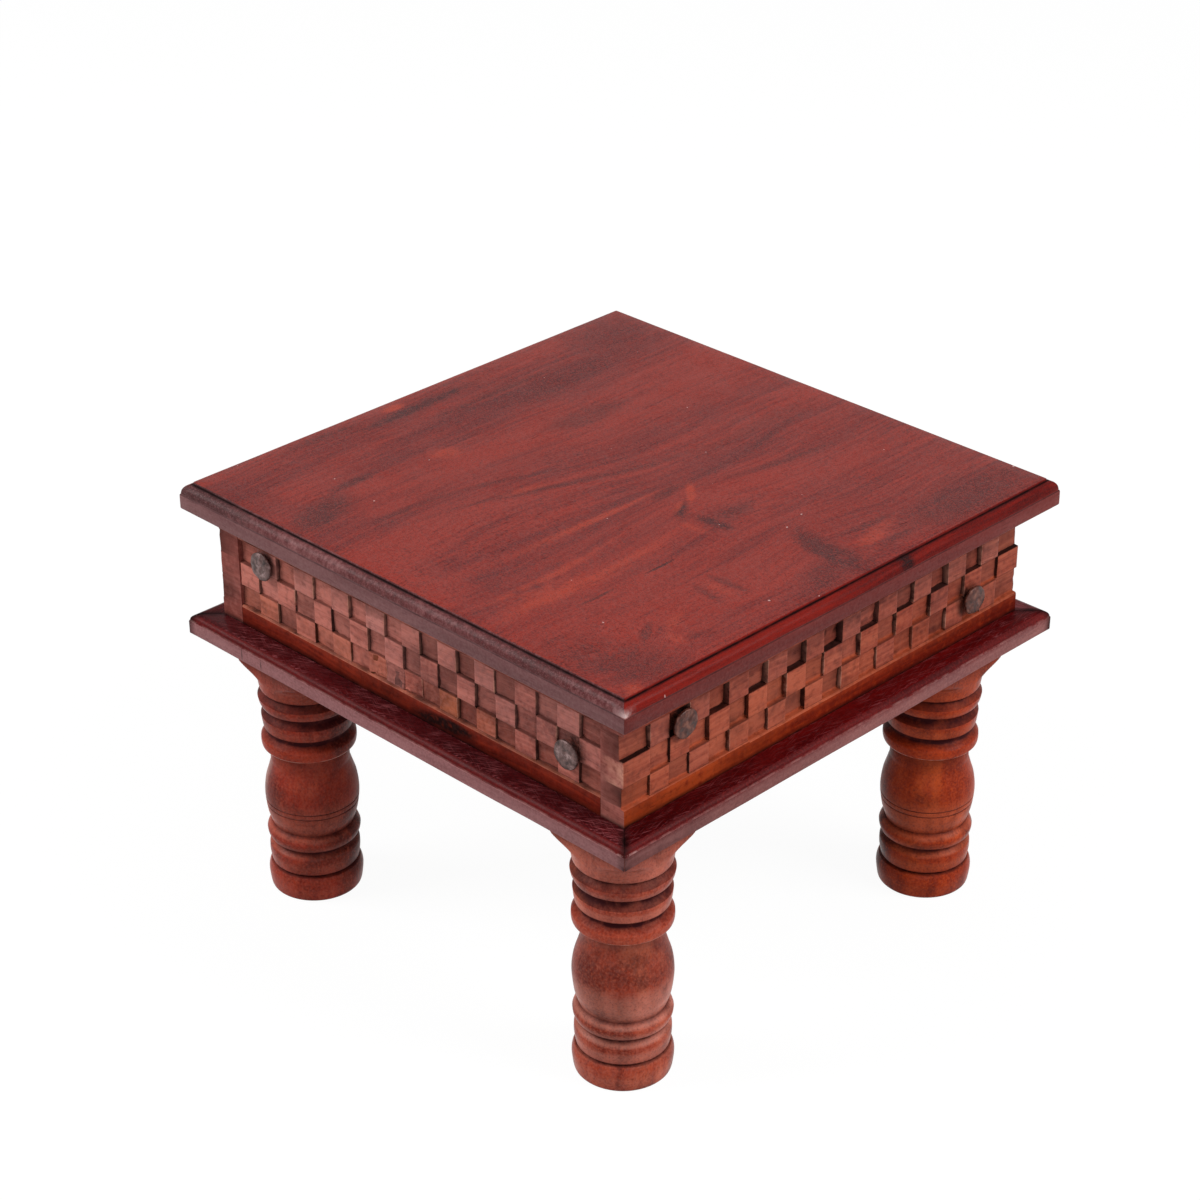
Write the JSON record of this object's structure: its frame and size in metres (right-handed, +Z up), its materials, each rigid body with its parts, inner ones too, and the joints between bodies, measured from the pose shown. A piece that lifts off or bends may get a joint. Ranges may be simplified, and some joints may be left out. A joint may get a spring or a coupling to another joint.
{
  "type": "bajot low table",
  "caption": "Small square bajot low table: moulded solid wood top, checker-carved apron with dome-headed studs, mitred base moulding and turned legs.",
  "frame": {"origin": "on the floor, under the middle of the square top", "axes": "+Z up, -Y out of the front apron, +X out of the right apron; the grain of the top runs along Y"},
  "size_m": [0.3048, 0.3048, 0.2312],
  "materials": {
    "top_wood": "red-stained hardwood, rubbed satin lacquer",
    "apron_wood": "red-brown stain, matte, carved with a chisel",
    "rail_wood": "dark maroon stain, satin lacquer",
    "leg_wood": "turned, brown-orange stain, satin",
    "block_wood": "plain sawn, unstained",
    "stud_iron": "dark aged iron, slightly worn",
    "screw_steel": "plain zinc-coated"
  },
  "bodies": {
    "root": {"top_board_wide": "top_wood", "top_board_narrow": "top_wood", "front_apron": "apron_wood", "right_apron": "apron_wood", "back_apron": "apron_wood", "left_apron": "apron_wood", "front_base_rail": "rail_wood", "right_base_rail": "rail_wood", "back_base_rail": "rail_wood", "left_base_rail": "rail_wood", "front_right_corner_block": "block_wood", "back_right_corner_block": "block_wood", "back_left_corner_block": "block_wood", "front_left_corner_block": "block_wood", "front_right_leg": "leg_wood", "back_right_leg": "leg_wood", "back_left_leg": "leg_wood", "front_left_leg": "leg_wood", "front_stud_high": "stud_iron", "front_stud_low": "stud_iron", "right_stud_high": "stud_iron", "right_stud_low": "stud_iron", "back_stud_high": "stud_iron", "back_stud_low": "stud_iron", "left_stud_high": "stud_iron", "left_stud_low": "stud_iron", "front_frame_screw_1": "screw_steel", "front_frame_screw_2": "screw_steel", "right_frame_screw_1": "screw_steel", "right_frame_screw_2": "screw_steel", "back_frame_screw_1": "screw_steel", "back_frame_screw_2": "screw_steel", "left_frame_screw_1": "screw_steel", "left_frame_screw_2": "screw_steel", "front_right_top_screw": "screw_steel", "back_right_top_screw": "screw_steel", "back_left_top_screw": "screw_steel", "front_left_top_screw": "screw_steel"}
  },
  "joints": []
}
